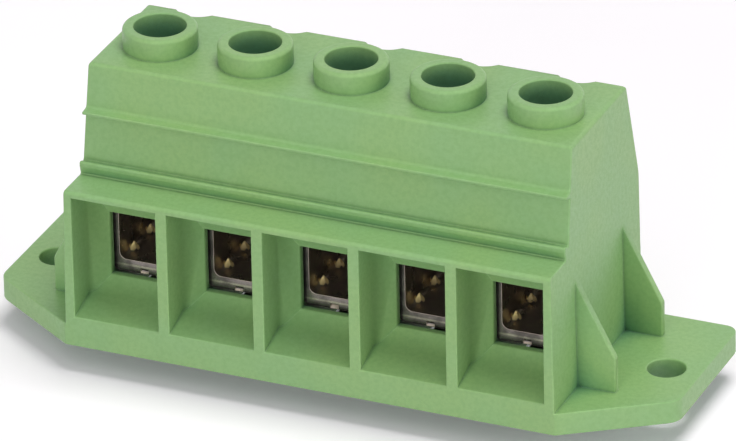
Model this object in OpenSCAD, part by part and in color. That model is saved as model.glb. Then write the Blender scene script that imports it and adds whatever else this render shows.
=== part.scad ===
// Screw terminal block for a circuit board, five poles, a screw flange at each end.
// Frame: X runs along the row of poles, Y = 0 is the row of screw axes with the wire
// side towards -Y, Z = 0 is the moulded face that seats on the board. Millimetres.
// Each pole is a tension clamp: turning its captive screw lifts the steel sleeve, and
// the sleeve presses the wire up against the current bar.

/* [Row] */
// Distance between neighbouring poles
pitch = 15; // [14:0.5:20]

/* [Housing body] */
// Height of the flat top face above the board
top_z = 41.5; // [41:0.5:48]
// Front edge of the top face, in front of the screw axes
top_front = 8.75; // [8.25:0.25:10]
// Rear edge of the top face, behind the screw axes
top_rear = 12; // [11:0.25:15]
// Front face of the wire boxes, in front of the screw axes
box_front = 18.1; // [17:0.1:22]
// Rear face of the body, behind the screw axes
body_rear = 16; // [15:0.25:20]
// Height of the shelf over the wire boxes
shelf_z = 25.1; // [24:0.1:28]
// How far the sloping front has come forward where it meets the shelf
front_foot = 11.3; // [11:0.1:12.5]
// Height at which the sloping rear face turns upright
rear_break_z = 26; // [24:0.5:30]
// How much longer the body is at the board than at the top, at each end
end_draft = 0.8; // [0.2:0.1:1.2]
// Rounding of the long moulded edges
edge_r = 0.6; // [0.2:0.1:0.9]

/* [Marker rails] */
// How far the lip of the upper rail lies below the top face
upper_rail_drop = 7.05; // [4:0.05:8.5]
// How far the lip of the lower rail lies above the shelf
lower_rail_rise = 1.9; // [1.4:0.05:2.6]
// How far the rails stand out from the sloping front
rail_proud = 1.4; // [0.8:0.1:1.8]

/* [Wire boxes] */
// Thickness of the shelf plate over the wire boxes
lintel_t = 1.05; // [0.8:0.05:2]
// Thickness of the partitions between the wire boxes
partition_t = 1.8; // [1.2:0.1:2.6]
// Height of the sill at the front of a wire box
sill_z = 4.8; // [4:0.1:6]
// How far the floor of a wire box climbs from its sill to the lead-in
ramp_rise = 1.9; // [0.5:0.1:2.5]
// Depth of the lead-in at the sides and top of the throat
lead_in = 2.7; // [1.5:0.1:4]
// Depth of the lead-in at the bottom of the throat
floor_lead_in = 1.9; // [1:0.1:3]
// Width of the throat that leads into the sleeve
throat_w = 8.1; // [6.9:0.1:9]
// Thickness of the wall round the throat
throat_t = 1.1; // [0.8:0.1:1.6]

/* [Flanges] */
// Thickness of the flanges
flange_t = 3.55; // [2.5:0.05:4.5]
// How far the flanges reach past the body at each end
flange_reach = 15; // [13:0.25:20]
// Radius of the flange screw holes
hole_r = 2.8; // [2:0.1:3.3]
// Distance of a flange hole from the end of the body
hole_out = 9.7; // [8.5:0.1:11]
// The flanges are laid out about this line, behind the screw axes
flange_y = 0.6; // [0:0.1:1]
// How far the front corner of a flange lies behind the front of the boxes
corner_back = 10.1; // [7:0.1:12]
// Radius of the front corners of the flanges
front_corner_r = 3; // [1:0.25:5]
// Radius of the rear corners of the flanges
rear_corner_r = 1.9; // [1:0.1:4]

/* [Gussets] */
// Thickness of the gussets
gusset_t = 1.2; // [0.8:0.1:2]
// Distance between the two gussets of a flange, middle to middle
gusset_gap = 18.2; // [15:0.2:20]
// How far a gusset reaches out from the body
gusset_reach = 5.7; // [4:0.1:6.5]
// Height at which a gusset meets the end wall
gusset_top = 20.4; // [14:0.2:24]
// Height of the upright outer edge of a gusset
gusset_low = 8.9; // [6:0.1:12]

/* [Screwdriver collars] */
// Outer radius of a collar
collar_r = 5.5; // [5.2:0.1:6.5]
// Height of a collar above the top face
collar_h = 3.3; // [1:0.1:5]
// Radius of the screwdriver bore
bore_r = 3.85; // [3:0.05:4.2]

/* [Rear scallops] */
// Half the width of a scallop at the rear edge of the top face
scallop_half = 2.9; // [1.5:0.1:4]
// Depth of a scallop, square to the sloping rear face
scallop_depth = 1.5; // [0.5:0.1:2]

/* [Tension sleeves] */
// Height of the sleeve floor with the clamp as supplied, a little above fully open
sleeve_floor_z = 10.7; // [10.2:0.1:11.5]
// How far the sleeve can still drop from there
open_drop = 2; // [1:0.1:2.4]
// Gap left between the teeth and the bar with the clamp fully closed
closed_gap = 0.2; // [0.1:0.05:1.5]
// Inner width of the sleeve
sleeve_in_w = 6.7; // [6.4:0.1:7.2]
// Thickness of the sleeve strip
strip_t = 2; // [1.6:0.1:2.2]
// Length of the sleeve along the wire, at its floor
sleeve_len = 18; // [16:0.5:18.5]
// Length of the sleeve along the wire, at its threaded top
sleeve_top_len = 12.4; // [11:0.2:13]
// Thickness of the threaded top of the sleeve
nut_t = 4.3; // [3.5:0.1:4.6]
// Height of the teeth on the sleeve floor
tooth_h = 1.6; // [0.4:0.1:1.8]
// Width of the V mark at the ends of the seam under the sleeve floor
seam_w = 1.2; // [0.6:0.1:2]

/* [Current bars] */
// Height of the underside of the current bar, where the wire is pressed
bar_z = 19.5; // [19:0.1:20]
// Thickness of the current bar
bar_t = 2; // [1.5:0.1:2.3]
// Width of the current bar
bar_w = 6; // [5:0.1:6.2]
// How far the solder pins reach below the board face
pin_len = 4.5; // [3:0.25:6]
// Width of a solder pin
pin_w = 1.5; // [1:0.1:1.8]

/* [Clamp screws] */
// Radius of the screw thread
thread_r = 3; // [2.5:0.1:3.2]
// Radius of the screw head
head_r = 4.7; // [4.3:0.1:4.9]
// Height of the screw head
head_h = 3.4; // [2.6:0.1:3.6]
// Width of the driver slot
slot_w = 1.6; // [1:0.1:2]
// Depth of the driver slot
slot_d = 1.8; // [1:0.1:2]

/* [Hidden] */
poles = 5;
eps = 1;                            // how far a cut runs past a face
slide_gap = 0.3;                    // clearance of a sleeve or screw head in the housing
seat_gap = 0.1;                     // clearance of a current bar in its pockets
thread_gap = 0.05;                  // running clearance in the thread, and under the screw tip
bore_facets = 64;

// Body
body_half = poles * pitch / 2;      // half length at the top face
base_half = body_half + end_draft;  // half length at the board
function wall_x(z) = base_half - end_draft * z / top_z;
function front_y(z) = top_front + (front_foot - top_front) * (top_z - z) / (top_z - shelf_z);
function pole_x(i) = (i - (poles + 1) / 2) * pitch;
rear_tilt = atan2(body_rear - top_rear, top_z - rear_break_z);

// Marker rails
upper_rail_z = top_z - upper_rail_drop;
lower_rail_z = shelf_z + lower_rail_rise;

// Clamp, stacked upwards from the bar
close_rise = bar_z - closed_gap - tooth_h - sleeve_floor_z; // travel of the sleeve up from there
bar_top = bar_z + bar_t;
nut_z = bar_top + open_drop + 0.2;              // underside of the threaded top
sleeve_top = nut_z + nut_t;
sleeve_half = sleeve_in_w / 2 + strip_t;
shoulder_z = bar_z + 0.5;                       // top of the full-length part of the sleeve
shoulder_h = (sleeve_len - sleeve_top_len) / 2; // the ends slope at 45 degrees above it
head_z = sleeve_top + close_rise + slide_gap;   // underside of the screw head
head_top = head_z + head_h;

// Cavities
shaft_half = sleeve_half + slide_gap;
shaft_y = sleeve_len / 2 + slide_gap;
shaft_top_y = sleeve_top_len / 2 + slide_gap;
shaft_top = sleeve_top + close_rise + slide_gap;
throat_y = shaft_y + throat_t;
throat_low = sleeve_floor_z - open_drop;        // level with the floor of the fully open sleeve
throat_high = bar_z - 0.8;
box_half = (pitch - partition_t) / 2;
box_top = shelf_z - lintel_t;
leg_y = shaft_y + 0.3;                          // front face of the upright leg of the bar
bar_rear = leg_y + bar_t;
nose_y = shaft_y + throat_t * 0.55;             // front end of the bar, in its pocket
foot_z = 1.2;                                   // underside of the foot of the bar
foot_front = 7.5;
pin_x = (bar_w - pin_w) / 2;

// ---------------------------------------------------------------- helpers
function unit(v) = v / norm(v);
function flat(p) = [p.x, p.y];

// The corner p between its neighbours a and b, as an arc of radius p.z
function arc_corner(a, p, b, steps) =
    let (
        u = unit(flat(a) - flat(p)),
        v = unit(flat(b) - flat(p)),
        half = acos(u * v) / 2,
        centre = flat(p) + unit(u + v) * p.z / sin(half),
        from = flat(p) + u * p.z / tan(half) - centre,
        to = flat(p) + v * p.z / tan(half) - centre,
        first = atan2(from.y, from.x),
        sweep = (atan2(to.y, to.x) - first + 540) % 360 - 180
    )
    [for (k = [0:steps]) centre + p.z * [cos(first + sweep * k / steps), sin(first + sweep * k / steps)]];

// A closed outline of [x, y, corner radius] points
function rounded(path, steps = 4) =
    let (n = len(path))
    [for (i = [0:n - 1])
        each (path[i].z == 0
            ? [flat(path[i])]
            : arc_corner(path[(i + n - 1) % n], path[i], path[(i + 1) % n], steps))];

function mirrored(path) = concat(path, [for (i = [len(path) - 1:-1:0]) [-path[i].x, path[i].y, path[i].z]]);

// Extrude a Y-Z outline along X, or an X-Z outline along Y, both centred
module along_x(length) { rotate([90, 0, 90]) linear_extrude(length, center = true) children(); }
module along_y(length) { rotate([90, 0, 0]) linear_extrude(length, center = true) children(); }

module at_poles() { for (i = [1:poles]) translate([pole_x(i), 0, 0]) children(); }
module both_ends() { for (side = [0, 1]) mirror([side, 0, 0]) children(); }

// ---------------------------------------------------------------- housing
// Side view of the moulding: wire box, two marker rails, top face, sloping rear
body_outline = [
    [-box_front, 0, 0],
    [-box_front, shelf_z, edge_r],
    [-front_y(shelf_z) - rail_proud / 2, shelf_z, 0.2],
    [-front_y(lower_rail_z) - rail_proud, lower_rail_z - 0.6, 0.3],
    [-front_y(lower_rail_z) - rail_proud, lower_rail_z + 0.4, 0.35],
    [-front_y(lower_rail_z), lower_rail_z - 0.3, 0.3],
    [-front_y(upper_rail_z - 0.6), upper_rail_z - 0.6, 0.1],
    [-front_y(upper_rail_z) - rail_proud, upper_rail_z - 0.2, 0.15],
    [-front_y(upper_rail_z) - rail_proud, upper_rail_z + 0.2, 0.15],
    [-front_y(upper_rail_z + 0.35), upper_rail_z + 0.35, 0.6],
    [-top_front, top_z, edge_r],
    [top_rear, top_z, edge_r],
    [body_rear, rear_break_z, 6],
    [body_rear, 0, 0]
];

end_outline = mirrored([[base_half, 0, 0], [body_half, top_z, edge_r]]);

module body_block() {
    intersection() {
        along_x(2 * base_half + 2 * eps) polygon(rounded(body_outline));
        along_y(2 * (box_front + body_rear)) polygon(rounded(end_outline));
    }
}

// Plan of the base plate: straight front, slanted to the flanges, round corners
plate_outline = mirrored([
    [base_half, -box_front, 0],
    [base_half + flange_reach, -box_front + corner_back, front_corner_r],
    [base_half + flange_reach, body_rear, rear_corner_r]
]);

module base_plate() {
    linear_extrude(flange_t) polygon(rounded(plate_outline, 6));
}

module gusset() {
    outline = [
        [body_half - 0.6, flange_t / 2, 0],
        [base_half + gusset_reach, flange_t / 2, 0],
        [base_half + gusset_reach, gusset_low, 1],
        [wall_x(gusset_top), gusset_top, 0],
        [body_half - 0.6, gusset_top, 0]
    ];
    along_y(gusset_t) polygon(rounded(outline));
}

module gussets() {
    both_ends() for (side = [-1, 1]) translate([0, flange_y + side * gusset_gap / 2, 0]) gusset();
}

module collar() {
    translate([0, 0, top_z - 0.5])
        rotate_extrude($fn = bore_facets)
            polygon(rounded([
                [bore_r - 0.5, 0, 0],
                [collar_r, 0, 0],
                [collar_r, collar_h + 0.5, 0.6],
                [bore_r - 0.5, collar_h + 0.5, 0]
            ]));
}

// Funnel of one wire box: the plan narrows to the throat, the floor climbs to it
module wire_box() {
    plan = mirrored([
        [box_half, -box_front - eps, 0],
        [box_half, -throat_y - lead_in, 0],
        [throat_w / 2, -throat_y, 0],
        [throat_w / 2, -shaft_y + eps, 0]
    ]);
    front_drop = ramp_rise * eps / (box_front - throat_y - floor_lead_in);
    side = [
        [-box_front - eps, sill_z - front_drop],
        [-throat_y - floor_lead_in, sill_z + ramp_rise],
        [-throat_y, throat_low],
        [-shaft_y + eps, throat_low],
        [-shaft_y + eps, throat_high],
        [-throat_y, throat_high],
        [-throat_y - lead_in, box_top],
        [-box_front - eps, box_top]
    ];
    intersection() {
        linear_extrude(top_z) polygon(rounded(plan));
        along_x(pitch) polygon(side);
    }
}

// Room for the sleeve over its whole travel, open to the board side for assembly
module sleeve_shaft() {
    raised = shoulder_z + close_rise + slide_gap;
    outline = mirrored([
        [shaft_y, -eps, 0],
        [shaft_y, raised, 0],
        [shaft_top_y, raised + shaft_y - shaft_top_y, 0],
        [shaft_top_y, shaft_top, 0]
    ]);
    along_x(2 * shaft_half) polygon(rounded(outline));
}

// Pocket for the nose of the current bar and slot for its upright leg
module bar_pockets() {
    half = bar_w / 2 + seat_gap;
    along_x(2 * half) {
        polygon([
            [-nose_y - seat_gap, bar_z - seat_gap],
            [-shaft_y + eps, bar_z - seat_gap],
            [-shaft_y + eps, bar_top + seat_gap],
            [-nose_y - seat_gap, bar_top + seat_gap]
        ]);
        polygon([
            [shaft_y - eps, -eps],
            [bar_rear + seat_gap, -eps],
            [bar_rear + seat_gap, bar_top + seat_gap],
            [shaft_y - eps, bar_top + seat_gap]
        ]);
    }
}

// Screwdriver bore, and the wider chamber that keeps the screw head captive
module screw_bore() {
    translate([0, 0, shaft_top - eps])
        cylinder(h = head_top + slide_gap - shaft_top + eps, r = head_r + slide_gap, $fn = bore_facets);
    translate([0, 0, shaft_top])
        cylinder(h = top_z + collar_h + eps - shaft_top, r = bore_r, $fn = bore_facets);
}

// Shallow round groove down the sloping rear face
module scallop() {
    radius = (scallop_half * scallop_half + scallop_depth * scallop_depth) / (2 * scallop_depth);
    run = (top_z - rear_break_z) / cos(rear_tilt);
    translate([0, top_rear, top_z])
        rotate([rear_tilt, 0, 0])
            translate([0, radius - scallop_depth, -run])
                cylinder(h = run + 3 * radius, r = radius, $fn = bore_facets);
}

module flange_hole() {
    translate([base_half + hole_out, flange_y, -eps])
        cylinder(h = flange_t + 2 * eps, r = hole_r, $fn = bore_facets);
}

module housing() {
    color("#86b573")
    difference() {
        union() {
            body_block();
            base_plate();
            gussets();
            at_poles() collar();
        }
        at_poles() {
            wire_box();
            sleeve_shaft();
            bar_pockets();
            screw_bore();
            scallop();
        }
        both_ends() flange_hole();
    }
}

// ---------------------------------------------------------------- metal parts
// Square pyramid that bites into the wire
module tooth() {
    half = tooth_h / 2;
    outline = [[-half, 0], [half, 0], [0, tooth_h]];
    intersection() {
        along_x(2 * half) polygon(outline);
        along_y(2 * half) polygon(outline);
    }
}

// V marks sheared into both ends of the floor, where the two ends of the strip meet
module seam_marks() {
    depth = 0.3 * strip_t;
    rise = 0.38 * strip_t;
    for (end = [0, 1])
        mirror([0, end, 0])
            translate([seam_w * 0.4, -sleeve_len / 2, sleeve_floor_z - strip_t])
                along_x(seam_w) polygon([[depth, rise], [-eps, rise], [-eps, -rise * eps / depth]]);
}

// Strip folded to a closed sleeve: floor, two walls and a threaded top
module tension_sleeve(i) {
    below = sleeve_floor_z - strip_t;
    outer = mirrored([[sleeve_half, below, strip_t * 1.1], [sleeve_half, sleeve_top, strip_t * 0.8]]);
    inner = mirrored([[sleeve_in_w / 2, sleeve_floor_z, 1], [sleeve_in_w / 2, nut_z, 0.5]]);
    side = mirrored([
        [sleeve_len / 2, below - eps, 0],
        [sleeve_len / 2, shoulder_z, 0.6],
        [sleeve_top_len / 2, shoulder_z + shoulder_h, 0.6],
        [sleeve_top_len / 2, sleeve_top + eps, 0]
    ]);
    color("#b9b8b4")
    translate([pole_x(i), 0, 0]) {
        difference() {
            intersection() {
                along_y(sleeve_len + 2 * eps) difference() {
                    polygon(rounded(outer, 6));
                    polygon(rounded(inner, 6));
                }
                along_x(2 * sleeve_half + 2 * eps) polygon(rounded(side));
            }
            translate([0, 0, nut_z - eps])
                cylinder(h = nut_t + 2 * eps, r = thread_r + thread_gap, $fn = bore_facets);
            seam_marks();
        }
        for (x = [-1, 1], row = [-1:1])
            translate([x * (sleeve_in_w - tooth_h) / 2, row * sleeve_len * 0.32, sleeve_floor_z - 0.05]) tooth();
    }
}

// Bar folded to a C: nose and contact above, upright leg, foot with two pairs of pins
module current_bar(i) {
    outline = [
        [-nose_y, bar_z, 0.3],
        [leg_y, bar_z, 0.3],
        [leg_y, foot_z + bar_t, 0.3],
        [-foot_front, foot_z + bar_t, 1.2],
        [-foot_front, -pin_len, 0.3],
        [-foot_front + bar_t * 0.75, -pin_len, 0.3],
        [-foot_front + bar_t * 0.75, foot_z, 0.3],
        [bar_rear - bar_t * 0.75, foot_z, 0.3],
        [bar_rear - bar_t * 0.75, -pin_len, 0.3],
        [bar_rear, -pin_len, 0.3],
        [bar_rear, bar_top, 2.2],
        [-nose_y, bar_top, 0.3]
    ];
    color("#c9c6bd")
    translate([pole_x(i), 0, 0])
    difference() {
        along_x(bar_w) polygon(rounded(outline));
        // the pins stand apart, one near each edge of the bar
        translate([-pin_x + pin_w / 2, -box_front, -pin_len - eps])
            cube([2 * pin_x - pin_w, box_front + body_rear, pin_len + eps + foot_z - 0.4]);
    }
}

// Slotted cheese-head screw, its tip on the bar and its head in the chamber
module clamp_screw(i) {
    tip_z = bar_top + thread_gap;
    color("#c2c4c6")
    translate([pole_x(i), 0, 0])
    difference() {
        rotate_extrude($fn = bore_facets)
            polygon(rounded([
                [0, tip_z, 0],
                [thread_r - 0.8, tip_z, 0],
                [thread_r, tip_z + 0.8, 0],
                [thread_r, head_z, 0],
                [head_r, head_z, 0.3],
                [head_r, head_top, 0.6],
                [0, head_top, 0]
            ]));
        translate([-head_r - eps, -slot_w / 2, head_top - slot_d])
            cube([2 * (head_r + eps), slot_w, slot_d + eps]);
    }
}

housing();
tension_sleeve(1);  // tension_sleeve_1
tension_sleeve(2);  // tension_sleeve_2
tension_sleeve(3);  // tension_sleeve_3
tension_sleeve(4);  // tension_sleeve_4
tension_sleeve(5);  // tension_sleeve_5
current_bar(1);  // current_bar_1
current_bar(2);  // current_bar_2
current_bar(3);  // current_bar_3
current_bar(4);  // current_bar_4
current_bar(5);  // current_bar_5
clamp_screw(1);  // clamp_screw_1
clamp_screw(2);  // clamp_screw_2
clamp_screw(3);  // clamp_screw_3
clamp_screw(4);  // clamp_screw_4
clamp_screw(5);  // clamp_screw_5
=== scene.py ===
# %% [markdown]
# # A screw terminal for a circuit board
#
# The object is a row of five wire clamps in one green moulding. Thick wires enter the funnels
# at the front, a screwdriver goes down through the collars on top, and four solder pins for
# each pole stand out below. A flange with a screw hole sits at each end.
#
# The exact solids come from the CAD frame. This lesson dresses them: edges get the small
# radii of a real mould, the screws get a thread that turns, and every piece gets a finish
# made of nodes. All lengths are in metres, and `MM` turns a size in millimetres into one.

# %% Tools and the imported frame
import math

import bmesh
import bpy
from mathutils import Matrix, Vector


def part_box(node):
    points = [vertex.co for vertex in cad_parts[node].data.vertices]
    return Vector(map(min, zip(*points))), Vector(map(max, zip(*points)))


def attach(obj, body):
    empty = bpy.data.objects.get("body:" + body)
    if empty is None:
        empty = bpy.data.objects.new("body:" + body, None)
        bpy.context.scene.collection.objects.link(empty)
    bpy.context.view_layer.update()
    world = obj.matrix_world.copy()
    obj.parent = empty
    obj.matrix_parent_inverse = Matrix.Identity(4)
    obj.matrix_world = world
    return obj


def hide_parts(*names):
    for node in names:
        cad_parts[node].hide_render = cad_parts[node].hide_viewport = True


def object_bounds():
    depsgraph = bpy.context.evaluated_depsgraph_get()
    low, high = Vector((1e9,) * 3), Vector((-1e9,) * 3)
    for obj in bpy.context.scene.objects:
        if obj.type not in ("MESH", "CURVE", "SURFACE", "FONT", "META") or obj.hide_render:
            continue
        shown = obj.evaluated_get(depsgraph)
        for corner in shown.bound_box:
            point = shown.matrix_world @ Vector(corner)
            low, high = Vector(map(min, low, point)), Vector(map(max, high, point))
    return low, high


MM = 0.001

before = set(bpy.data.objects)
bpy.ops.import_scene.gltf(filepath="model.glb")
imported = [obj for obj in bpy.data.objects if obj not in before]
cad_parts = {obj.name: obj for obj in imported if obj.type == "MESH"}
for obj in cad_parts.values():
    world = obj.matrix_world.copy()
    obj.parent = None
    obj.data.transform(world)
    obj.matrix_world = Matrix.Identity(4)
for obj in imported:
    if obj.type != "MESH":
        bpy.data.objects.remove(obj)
cad_low, cad_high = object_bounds()
print("CAD box in mm:", [round(v / MM, 2) for v in (*cad_low, *cad_high)])

# %% [markdown]
# ## Places that the other cells use
#
# Every place is read from the CAD nodes, so the dress still fits when a size of the part
# changes. The poles are numbered from left to right, and the middle of a pole is the middle
# of its clamp screw.

# %% The poles and the main heights
screw_nodes = [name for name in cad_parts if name.startswith("clamp_screw_")]
poles = sorted(name.removeprefix("clamp_screw_") for name in screw_nodes)
pole_x = {pole: sum(corner.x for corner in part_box(f"clamp_screw_{pole}")) / 2 for pole in poles}
pitch = pole_x["2"] - pole_x["1"]

screw_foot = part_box("clamp_screw_3")[0].z
sleeve_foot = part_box("tension_sleeve_3")[0].z
print("poles at", {pole: round(x / MM, 2) for pole, x in pole_x.items()}, "mm")

# %% [markdown]
# ## Rounded copies of the exact solids
#
# A mould is cut with round tools and the plastic shrinks, so no edge of a moulding is truly
# sharp, and even sheared steel has a small radius. A highlight along each edge is what makes
# a part look made. The CAD mesh arrives as loose triangles. A copy of it is merged, its flat
# triangles are joined into single faces, and then its sharp edges are bevelled. Bevelling a
# copy is better than modelling the part again: the sizes stay exactly those of the solids.

# %% A merged copy of a CAD node
WELD = 0.002 * MM


def merged_copy(node):
    bm = bmesh.new()
    bm.from_mesh(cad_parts[node].data)
    bmesh.ops.remove_doubles(bm, verts=bm.verts, dist=WELD)
    bmesh.ops.dissolve_degenerate(bm, dist=WELD, edges=bm.edges)
    bmesh.ops.dissolve_limit(bm, angle_limit=math.radians(0.6), verts=bm.verts, edges=bm.edges)
    return bm


def outer_edges(bm, least=30):
    """The outward edges whose two faces turn by at least that many degrees."""
    return [
        edge for edge in bm.edges
        if edge.is_convex and edge.calc_face_angle() > math.radians(least)
    ]


def round_edges(bm, edges, width, segments=2):
    bmesh.ops.bevel(
        bm, geom=edges, offset=width, offset_type="OFFSET", segments=segments,
        profile=0.5, affect="EDGES", clamp_overlap=False, material=-1,
    )


# %% [markdown]
# ## Finished pieces
#
# Each piece is put into the scene in the same way: shaded smooth with its hard corners kept,
# with weighted normals so that big flat faces stay flat beside their small round edges, and
# riding on the CAD body that carries it.

# %% Putting a piece into the scene
def finished(bm, name, body, material, replaces, hard=40):
    mesh = bpy.data.meshes.new(name)
    bm.to_mesh(mesh)
    bm.free()
    mesh.shade_smooth()
    mesh.set_sharp_from_angle(angle=math.radians(hard))
    mesh.materials.append(material)
    piece = bpy.data.objects.new(name, mesh)
    bpy.context.scene.collection.objects.link(piece)
    weighted = piece.modifiers.new("flat faces stay flat", "WEIGHTED_NORMAL")
    weighted.keep_sharp = True
    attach(piece, body)
    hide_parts(replaces)
    print(name, "has", len(mesh.polygons), "faces and rides on", body)


# %% [markdown]
# ## Shader sums as plain expressions
#
# A material is a graph of nodes, and sums in it are easier to read as sums. A `Wire` holds one
# output of a node. Writing `1 - wire` or `wire * 0.3` on it adds the Math node for that sum.
# Every other node comes from `Finish.node`, which takes the settings first and the sockets
# after them, because a node's settings can change which sockets it shows.

# %% A wire and a finish
class Wire:
    def __init__(self, finish, socket):
        self.finish, self.socket = finish, socket

    def sum(self, operation, first, second):
        return self.finish.node("Math", {"operation": operation}, {0: first, 1: second})

    def __add__(self, other):
        return self.sum("ADD", self, other)

    __radd__ = __add__

    def __sub__(self, other):
        return self.sum("SUBTRACT", self, other)

    def __rsub__(self, other):
        return self.sum("SUBTRACT", other, self)

    def __mul__(self, other):
        return self.sum("MULTIPLY", self, other)

    __rmul__ = __mul__

    def __abs__(self):
        return self.sum("ABSOLUTE", self, 0.0)


class Finish:
    def __init__(self, owner):
        owner.use_nodes = True
        self.owner, self.tree = owner, owner.node_tree
        self.tree.nodes.clear()

    def node(self, kind, settings=None, sockets=None, out=0):
        made = self.tree.nodes.new("ShaderNode" + kind)
        for key, value in (settings or {}).items():
            setattr(made, key, value)
        for key, value in (sockets or {}).items():
            if isinstance(value, Wire):
                self.tree.links.new(value.socket, made.inputs[key])
            else:
                made.inputs[key].default_value = value
        return Wire(self, made.outputs[out]) if made.outputs else None

    def place(self):
        return self.node("TexCoord", out="Object")

    def part_of(self, vector, axis):
        return self.node("SeparateXYZ", {}, {0: vector}, out=axis)

    def wrapped(self, value, length):
        """Folds a length onto itself, from minus half of it to plus half of it."""
        return self.node("Math", {"operation": "WRAP"}, {0: value, 1: length / 2, 2: -length / 2})

    def noise(self, size, detail):
        """Cloudy noise whose spots are about that large, from 0 to 1."""
        return self.node("TexNoise", {}, {
            "Vector": self.place(), "Scale": 1 / size, "Detail": detail, "Roughness": 0.55,
        })

    def fade(self, value, low, high, to_low=0.0, to_high=1.0):
        """A soft step: to_low where the value is low, to_high where it is high."""
        return self.node("MapRange", {"interpolation_type": "SMOOTHSTEP"}, {
            "Value": value, "From Min": low, "From Max": high, "To Min": to_low, "To Max": to_high,
        })

    def blend(self, amount, first, second, how="MIX"):
        kind = {"data_type": "RGBA", "blend_type": how}
        return self.node("Mix", kind, {0: amount, 6: first, 7: second}, out=2)

    def tint(self, amount, colour, by):
        """The colour multiplied by another one, as much as the amount says."""
        return self.blend(amount, colour, self.blend(1.0, colour, by, how="MULTIPLY"))

    def bump(self, height, distance, strength=1.0):
        return self.node("Bump", {}, {"Strength": strength, "Distance": distance, "Height": height})

    def surface(self, shader):
        self.node("OutputMaterial", {}, {"Surface": shader})
        return self.owner


def new_finish(name):
    return Finish(bpy.data.materials.new(name))


# %% [markdown]
# ## Green moulded polyamide
#
# The housing is injection-moulded polyamide, coloured green in the mass. The colour is not
# quite even: the melt leaves slow clouds of slightly yellower and bluer green, so two greens
# are mixed by a large soft noise. The mould is spark-eroded, which prints a very fine grain on
# the plastic. It shows as a broken sheen, so the same fine noises drive the roughness, a bump
# a few microns deep, and small darker specks.
#
# Edges are painted paler, a painted highlight for the light that their small radii catch: the
# Bevel node looks at the surface around a point, and where its normal departs from the true
# one, an edge is near. Creases and bores get painted shade instead. The Ambient Occlusion node
# says how closed in a point is, within a millimetre for the creases, which are painted darker,
# and within the width of a screwdriver bore for the bores, whose walls are painted bluer and
# darker than the outside.

# %% The plastic
GREEN = (0.240, 0.412, 0.163, 1)
YELLOWER_GREEN = (0.254, 0.417, 0.158, 1)
BLUER_GREEN = (0.230, 0.406, 0.172, 1)
DEEPER_GREEN = (0.192, 0.345, 0.126, 1)
HIGHLIGHT_GREEN = (0.390, 0.570, 0.310, 1)
CREASE_SHADE = (0.40, 0.46, 0.42, 1)
BORE_SHADE = (0.42, 0.62, 0.82, 1)
EDGE_WIDTH = 0.34 * MM
CREASE_WIDTH = 1.1 * MM
BORE_WIDTH = 9 * MM

f = new_finish("green polyamide")
clouds = f.noise(14 * MM, detail=1.0)
patches = f.noise(2.6 * MM, detail=2.0)
mottle = f.noise(0.7 * MM, detail=3.0)
grain = f.noise(0.16 * MM, detail=3.0)
tone = f.blend(f.fade(clouds, 0.35, 0.65), BLUER_GREEN, YELLOWER_GREEN)
tone = f.blend(f.fade(patches, 0.3, 0.75, 0.0, 0.5), tone, GREEN)
tone = f.blend(f.fade(mottle, 0.35, 0.7, 0.0, 0.5), tone, DEEPER_GREEN)
tone = f.blend(f.fade(grain, 0.3, 0.7, 0.0, 0.25), tone, DEEPER_GREEN)

# painted highlight: near an edge the colour is painted paler, broken up by the patches noise
round_normal = f.node("Bevel", {"samples": 6}, {"Radius": EDGE_WIDTH})
true_normal = f.node("NewGeometry", out="Normal")
normals = {0: round_normal, 1: true_normal}
turned = f.node("VectorMath", {"operation": "DOT_PRODUCT"}, normals, out="Value")
painted_edge_highlight = f.fade(1 - turned, 0.02, 0.22) * f.fade(patches, 0.25, 0.6, 0.45, 0.95)
tone = f.blend(painted_edge_highlight * 0.9, tone, HIGHLIGHT_GREEN)

open_near = f.node("AmbientOcclusion", {"samples": 8}, {"Distance": CREASE_WIDTH}, out="AO")
open_far = f.node("AmbientOcclusion", {"samples": 8}, {"Distance": BORE_WIDTH}, out="AO")
# painted shade: creases are tinted darker where the near occlusion closes in
tone = f.tint(f.fade(open_near, 0.25, 0.78, 0.95, 0.0), tone, CREASE_SHADE)
# painted shade: deep bores are tinted bluer and darker where the far occlusion closes in
tone = f.tint(f.fade(open_far, 0.25, 0.52, 1.0, 0.0), tone, BORE_SHADE)

plastic = f.surface(f.node("BsdfPrincipled", {}, {
    "Base Color": tone,
    "Roughness": f.fade(grain, 0.3, 0.7, 0.36, 0.50) + f.fade(mottle, 0.3, 0.7, -0.03, 0.03),
    "IOR": 1.53,
    "Normal": f.bump(grain + mottle * 1.5, 0.010 * MM),
}))
print("plastic finish uses", len(plastic.node_tree.nodes), "nodes")

# %% [markdown]
# ## The housing
#
# One moulding holds everything: five wire boxes with their funnels, the marker rails, the
# collars, the end flanges and their gussets. Its copy gets small round edges. A radius of
# about a quarter of a millimetre is what a toolmaker leaves on such a part.

# %% The moulding
MOULD_RADIUS = 0.22 * MM

housing_mesh = merged_copy("housing")
round_edges(housing_mesh, outer_edges(housing_mesh), MOULD_RADIUS)
finished(housing_mesh, "housing_moulding", "housing", plastic, "housing")

# %% [markdown]
# ## Plated steel that knows its pole
#
# The sleeves and screws of all five poles share one finish each, and their marks follow the
# middle of their own pole. The Wrap mode of a Math node folds the row of poles onto one: the
# distance across a pole comes out the same in each of them.

# %% Distance from the middle of the own pole
def across_pole(f):
    return f.wrapped(f.part_of(f.place(), "X"), pitch)
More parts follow.
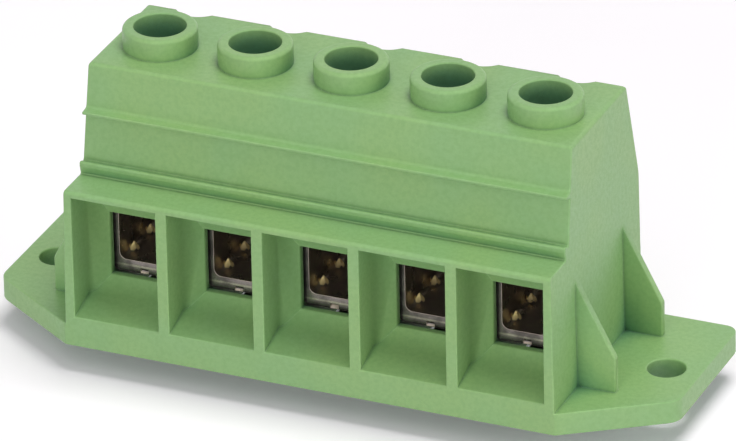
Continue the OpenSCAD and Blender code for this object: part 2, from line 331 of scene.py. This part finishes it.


# %% [markdown]
# ## Passivated steel
#
# The sleeve is bent from steel strip, zinc-plated and yellow-passivated, so its faces mirror
# their dark surroundings. Its teeth are painted a brighter gold and made less metallic, a
# painted glint for the light that flashes on them. Its two ends were sheared: a shear leaves a
# bright line of burnished metal in the middle of a darker, torn one, and the cut ends are also
# painted darker than the skin, painted shade for the shade they stand in. The mask of the cut
# ends comes from the direction of the surface, because only they look straight along the
# wire. The mask of the teeth comes from their place on the floor.

# %% Sleeve steel
PASSIVATED = (0.400, 0.345, 0.275, 1)
PASSIVATED_PINK = (0.360, 0.285, 0.255, 1)
GLINT_GOLD = (0.900, 0.690, 0.330, 1)
SHEARED_AND_SHADED = (0.240, 0.210, 0.200, 1)
BURNISHED = (0.480, 0.430, 0.360, 1)
TORN_AND_SHADED = (0.090, 0.080, 0.075, 1)
STRIP = 2.0 * MM
TOOTH_X = 2.55 * MM
TOOTH_PITCH = 5.76 * MM
TOOTH_HEIGHT = 1.8 * MM
TOOTH_REACH = 1.1 * MM
WALL_X = 3.34 * MM
SHEAR_LINE = 0.22 * MM

f = new_finish("yellow passivated steel")
x = abs(across_pole(f))
row = abs(f.wrapped(f.part_of(f.place(), "Y"), TOOTH_PITCH))
height = f.part_of(f.place(), "Z") - sleeve_foot
along = abs(f.part_of(f.node("TexCoord", out="Normal"), "Y"))
stain = f.noise(2.5 * MM, detail=3.0)
rolled = f.noise(0.12 * MM, detail=2.0)

on_floor = f.fade(height, STRIP + 0.05 * MM, STRIP + 0.2 * MM)
below_tips = f.fade(height, STRIP + TOOTH_HEIGHT, STRIP + TOOTH_HEIGHT - 0.1 * MM)
beside_tip = abs(x - TOOTH_X) + row
near_tooth = f.fade(beside_tip, TOOTH_REACH, TOOTH_REACH - 0.2 * MM)
off_wall = f.fade(x, WALL_X, WALL_X - 0.06 * MM)
tooth = on_floor * below_tips * near_tooth * off_wall
skin = f.blend(f.fade(stain, 0.35, 0.7), PASSIVATED, PASSIVATED_PINK)
# painted glint: the teeth are painted a brighter gold than the passivated skin
skin = f.blend(tooth, skin, GLINT_GOLD)

line = f.fade(abs(height - 0.55 * STRIP), SHEAR_LINE, 0.08 * MM)
# partly painted shade: the cut ends are sheared and torn steel, painted darker than the skin for
# the shade they stand in
cut_and_shade = f.blend(f.fade(stain, 0.4, 0.65, 0.0, 0.8), SHEARED_AND_SHADED, TORN_AND_SHADED)
cut_and_shade = f.blend(line * f.fade(stain, 0.7, 0.4, 0.2, 0.8), cut_and_shade, BURNISHED)
sheared = f.fade(along, 0.93, 0.98)
sleeve_steel = f.surface(f.node("BsdfPrincipled", {}, {
    "Base Color": f.blend(sheared, skin, cut_and_shade),
    "Metallic": 0.9 - tooth * 0.45,
    "Roughness": f.fade(stain, 0.3, 0.7, 0.26, 0.36) - sheared * 0.12,
    "Normal": f.bump(rolled, 0.004 * MM),
}))
print("sleeve finish uses", len(sleeve_steel.node_tree.nodes), "nodes")

# %% [markdown]
# ## The sleeves
#
# Each sleeve is its own piece on its own body, because each clamp is closed by itself. The
# radius of its edges is what a shear and a tumbling drum leave.

# %% The tension sleeves
STEEL_RADIUS = 0.12 * MM

for pole in poles:
    node = f"tension_sleeve_{pole}"
    sleeve_mesh = merged_copy(node)
    round_edges(sleeve_mesh, outer_edges(sleeve_mesh), STEEL_RADIUS)
    finished(sleeve_mesh, f"sleeve_{pole}", f"sleeve_{pole}", sleeve_steel, node)

# %% [markdown]
# ## Tinned current bars
#
# The bars are punched from copper alloy and tin-plated, so they solder well. Tin is soft and
# whitish with a faint frosting of crystals, for which a cell noise is right.

# %% Tin
TIN = (0.72, 0.70, 0.665, 1)
TIN_DULL = (0.56, 0.545, 0.515, 1)
CRYSTAL = 0.6 * MM

f = new_finish("tin plate")
cells = {"Vector": f.place(), "Scale": 1 / CRYSTAL}
crystals = f.node("TexVoronoi", {}, cells, out="Distance")
haze = f.noise(3 * MM, detail=3.0)
tin = f.surface(f.node("BsdfPrincipled", {}, {
    "Base Color": f.blend(f.fade(haze, 0.35, 0.7), TIN, TIN_DULL),
    "Metallic": 1.0,
    "Roughness": f.fade(crystals, 0.0, 0.8, 0.26, 0.38) + f.fade(haze, 0.3, 0.7, 0.0, 0.1),
    "Normal": f.bump(crystals, 0.004 * MM),
}))

# %% [markdown]
# ## The bars
#
# A bar doesn't move: it is pressed into the housing, so it rides on the same body as the
# moulding. Its lower end splits into the solder pins below the board side.

# %% The current bars
BAR_RADIUS = 0.1 * MM

for pole in poles:
    node = f"current_bar_{pole}"
    bar_mesh = merged_copy(node)
    round_edges(bar_mesh, outer_edges(bar_mesh), BAR_RADIUS)
    finished(bar_mesh, f"bar_{pole}", "housing", tin, node)

# %% [markdown]
# ## Clamp screws with a real thread
#
# The CAD screw is a plain shank of the thread's outer size. On the dressed screw the shank
# shrinks to the core of the thread, and a ridge is wound round it: a narrow profile is spun
# about the axis while it climbs by one pitch per turn. The foot of the ridge is sunk a little
# into the core. A thread made this way is real geometry, and it climbs in step with the
# sleeve when the screw turns.

# %% Thread sizes
THREAD_PITCH = 1.0 * MM
THREAD_R = 3.0 * MM
THREAD_DEPTH = 0.55 * MM
THREAD_BASE = 0.8 * MM
THREAD_CREST = 0.12 * MM
THREAD_FOOT_R = THREAD_R - 1.1 * THREAD_DEPTH
STEPS_PER_TURN = 40


def wind_thread(bm, x, low, high):
    """A ridge on the shank at x, wound upwards, and closed at both ends."""
    turns = (high - low) / THREAD_PITCH
    steps = round(STEPS_PER_TURN * turns)
    inner, outer = THREAD_FOOT_R, THREAD_R
    half_base, half_crest = THREAD_BASE / 2, THREAD_CREST / 2
    profile = [(inner, -half_base), (outer, -half_crest), (outer, half_crest), (inner, half_base)]
    corners = [bm.verts.new((x + r, 0, low + z)) for r, z in profile]
    start = bm.faces.new(corners)
    bmesh.ops.spin(
        bm, geom=[*corners, *start.edges, start], cent=(x, 0, 0), axis=(0, 0, 1),
        dvec=(0, 0, (high - low) / steps), angle=2 * math.pi * turns, steps=steps,
    )
    bmesh.ops.recalc_face_normals(bm, faces=bm.faces)


# %% [markdown]
# ## Zinc plated screws
#
# The screw is turned on a lathe before it is plated, and its flat faces keep the rings of the
# tool. A sine of the radius makes such rings, and the radius is measured from the middle of
# each pole.

# %% Screw steel
LATHE_STEP = 0.18 * MM
ZINC = (0.66, 0.675, 0.69, 1)
ZINC_DULL = (0.50, 0.51, 0.525, 1)

f = new_finish("zinc plated screw steel")
spots = f.noise(1.5 * MM, detail=3.0)
y = f.part_of(f.place(), "Y")
x = across_pole(f)
radius = f.node("Math", {"operation": "POWER"}, {0: x * x + y * y, 1: 0.5})
rings = f.node("Math", {"operation": "SINE"}, {0: radius * (2 * math.pi / LATHE_STEP)})
screw_steel = f.surface(f.node("BsdfPrincipled", {}, {
    "Base Color": f.blend(f.fade(spots, 0.35, 0.7), ZINC, ZINC_DULL),
    "Metallic": 1.0,
    "Roughness": f.fade(spots, 0.3, 0.7, 0.24, 0.36),
    "Normal": f.bump(rings, 0.004 * MM, 0.6),
}))

# %% The underside of the screw head
def from_axis(vertex, x):
    return math.hypot(vertex.co.x - x, vertex.co.y)


head_vertices = [
    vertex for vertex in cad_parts["clamp_screw_3"].data.vertices
    if from_axis(vertex, pole_x["3"]) > THREAD_R + 0.5 * MM
]
head_z = min(vertex.co.z for vertex in head_vertices)
print("the head starts at", round(head_z / MM, 2), "mm")

# %% The clamp screws
HEAD_RADIUS = 0.15 * MM
BARE_TIP = 0.9 * MM
BARE_NECK = 0.6 * MM
CORE = (THREAD_R - THREAD_DEPTH) / THREAD_R

for pole in poles:
    node = f"clamp_screw_{pole}"
    x = pole_x[pole]
    screw_mesh = merged_copy(node)
    shank = [
        vertex for vertex in screw_mesh.verts
        if vertex.co.z < head_z + WELD and from_axis(vertex, x) < THREAD_R + WELD
    ]
    to_axis = Matrix.Translation((-x, 0, 0))
    bmesh.ops.scale(screw_mesh, vec=(CORE, CORE, 1), verts=shank, space=to_axis)
    head_edges = [
        edge for edge in outer_edges(screw_mesh)
        if min(vertex.co.z for vertex in edge.verts) > head_z - WELD
    ]
    round_edges(screw_mesh, head_edges, HEAD_RADIUS)
    wind_thread(screw_mesh, x, screw_foot + BARE_TIP, head_z - BARE_NECK)
    finished(screw_mesh, f"screw_{pole}", f"screw_{pole}", screw_steel, node)

# %% [markdown]
# ## The camera
#
# The block is seen from the front right and from above, through a long lens, so the two ends
# of the row look nearly the same size.

# %% Camera
def look_from(azimuth, elevation, roll):
    """The directions back to the viewer, to the right and up, for angles in degrees."""
    a, e = math.radians(azimuth), math.radians(elevation)
    back = Vector((math.sin(a) * math.cos(e), -math.cos(a) * math.cos(e), math.sin(e)))
    right = Vector((math.cos(a), math.sin(a), 0))
    turn = Matrix.Rotation(math.radians(roll), 3, back)
    return back, turn @ right, turn @ back.cross(right)


AIM = Vector((1.596, 1.122, 18.410)) * MM
AZIMUTH, ELEVATION, ROLL = 23.667, 27.323, -1.182
AWAY = 1.2912
LENS = 437.67

back, right, up = look_from(AZIMUTH, ELEVATION, ROLL)
camera_data = bpy.data.cameras.new("camera")
camera_data.lens = LENS
camera = bpy.data.objects.new("camera", camera_data)
bpy.context.scene.collection.objects.link(camera)
turned_to_aim = Matrix((right, up, back)).transposed().to_4x4()
camera.matrix_world = Matrix.Translation(AIM + back * AWAY) @ turned_to_aim
bpy.context.scene.camera = camera

# %% [markdown]
# ## White floor with a soft shadow
#
# The part stands on its solder pins. The floor is a matt sheet that catches the shadow. Rays
# that come straight from the camera, from a mirror or through glass see a whiter sheet that
# also glows a little, so it looks as white as paper without more light falling on the part.
# Its slight pink takes the green out of the shadow.

# %% Rays that see the background
def seen_directly(f):
    camera_ray = f.node("LightPath", out="Is Camera Ray")
    glossy_ray = f.node("LightPath", out="Is Glossy Ray")
    through_ray = f.node("LightPath", out="Is Transmission Ray")
    either = f.node("Math", {"operation": "MAXIMUM"}, {0: camera_ray, 1: glossy_ray})
    return f.node("Math", {"operation": "MAXIMUM"}, {0: either, 1: through_ray})


# %% The floor
FLOOR_HALF = 3
PAPER = (0.82, 0.82, 0.83, 1)
SEEN_PAPER = (1, 0.965, 1, 1)
GLOW = 0.06

floor_mesh = bmesh.new()
bmesh.ops.create_grid(floor_mesh, x_segments=1, y_segments=1, size=FLOOR_HALF)
bmesh.ops.translate(floor_mesh, verts=floor_mesh.verts, vec=(0, 0, cad_low.z))
floor_data = bpy.data.meshes.new("floor")
floor_mesh.to_mesh(floor_data)
floor_mesh.free()
floor = bpy.data.objects.new("floor", floor_data)
bpy.context.scene.collection.objects.link(floor)

f = new_finish("white sheet")
paper = f.node("BsdfDiffuse", {}, {"Color": PAPER})
bright_paper = f.node("BsdfDiffuse", {}, {"Color": SEEN_PAPER})
glow = f.node("Emission", {}, {"Color": (1, 1, 1, 1), "Strength": GLOW})
glowing_paper = f.node("AddShader", {}, {0: bright_paper, 1: glow})
floor_data.materials.append(f.surface(
    f.node("MixShader", {}, {0: seen_directly(f), 1: paper, 2: glowing_paper})
))

# %% [markdown]
# ## Studio light
#
# The light is soft, as in a light tent. A large lamp overhead leans a little to the right and
# lights the top and the shelf, and a low lamp in front fills the funnels. Low lamps at the
# right, at the left and behind light the ends and the back, and because they are low they
# throw hardly any shadow on the floor. The tent itself is plain white where it is seen or
# mirrored.

# %% The tent
TENT_LIGHT, TENT_WHITE = 0.14, 1.0

world = bpy.data.worlds.new("tent")
bpy.context.scene.world = world
f = Finish(world)
tent_light = f.node("Background", {}, {"Color": (1, 1, 1, 1), "Strength": TENT_LIGHT})
tent_white = f.node("Background", {}, {"Color": (1, 1, 1, 1), "Strength": TENT_WHITE})
f.node("OutputWorld", {}, {
    "Surface": f.node("MixShader", {}, {0: seen_directly(f), 1: tent_light, 2: tent_white})
})


# %% The lamps
LAMP_AWAY = 0.9
LAMP_WIDTH = 0.45


def lamp(name, azimuth, elevation, power):
    data = bpy.data.lights.new(name, "AREA")
    data.energy, data.size = power, LAMP_WIDTH
    light = bpy.data.objects.new(name, data)
    bpy.context.scene.collection.objects.link(light)
    towards, _, _ = look_from(azimuth, elevation, 0)
    turn = towards.to_track_quat("Z", "Y").to_matrix().to_4x4()
    light.matrix_world = Matrix.Translation(towards * LAMP_AWAY) @ turn
    light.visible_camera = False
    light.visible_glossy = False


lamp("overhead", 90, 79, 5.0)
lamp("low in front", 2, 12, 3.5)
lamp("high in front", 10, 50, 1.1)
lamp("right side", 84, 12, 2.8)
lamp("left side", -90, 20, 0.9)
lamp("behind", 180, 12, 2.2)

bpy.context.scene.view_settings.view_transform = "Standard"
